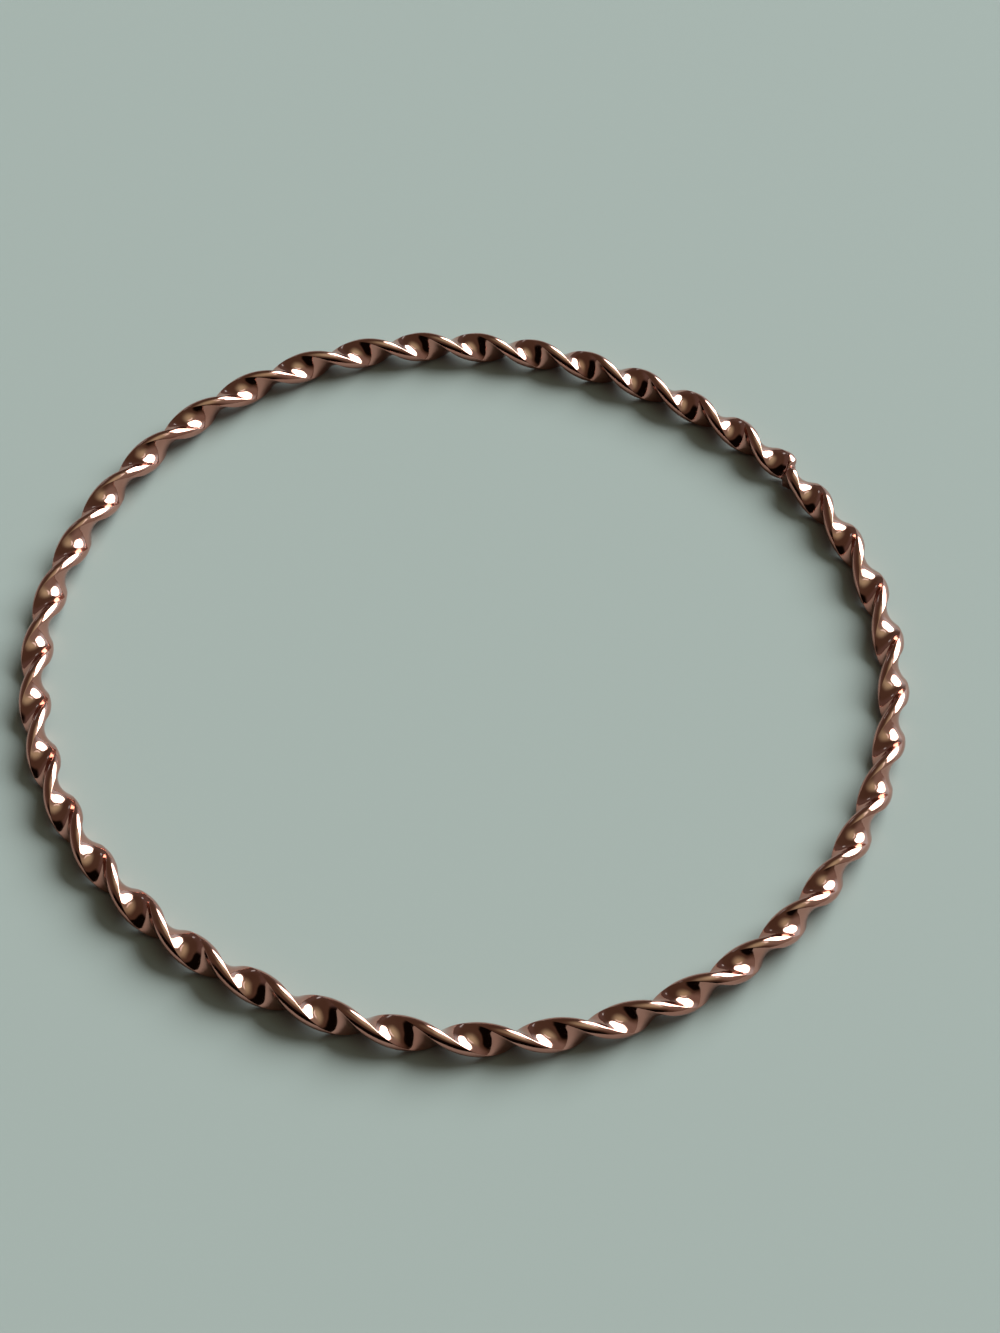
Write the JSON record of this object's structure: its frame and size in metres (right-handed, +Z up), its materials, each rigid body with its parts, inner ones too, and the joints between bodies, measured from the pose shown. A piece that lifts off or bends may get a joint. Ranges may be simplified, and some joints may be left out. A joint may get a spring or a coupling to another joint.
{
  "type": "twisted wire bangle",
  "caption": "Slim wrist bangle: one flat wire with crowned edges, twisted along its whole length, bent into a round hoop and soldered closed, open through its middle for the hand.",
  "frame": {"origin": "centre of the wrist opening, in the plane that the lowest ridges rest on", "axes": "+Z up along the hoop's axis as it lies on a surface, +X to the right and +Y away in the pictured view"},
  "size_m": [0.069, 0.069, 0.0025],
  "materials": {
    "rose_gold": "high polish"
  },
  "bodies": {
    "root": {"twisted_wire": "rose_gold"}
  },
  "joints": []
}
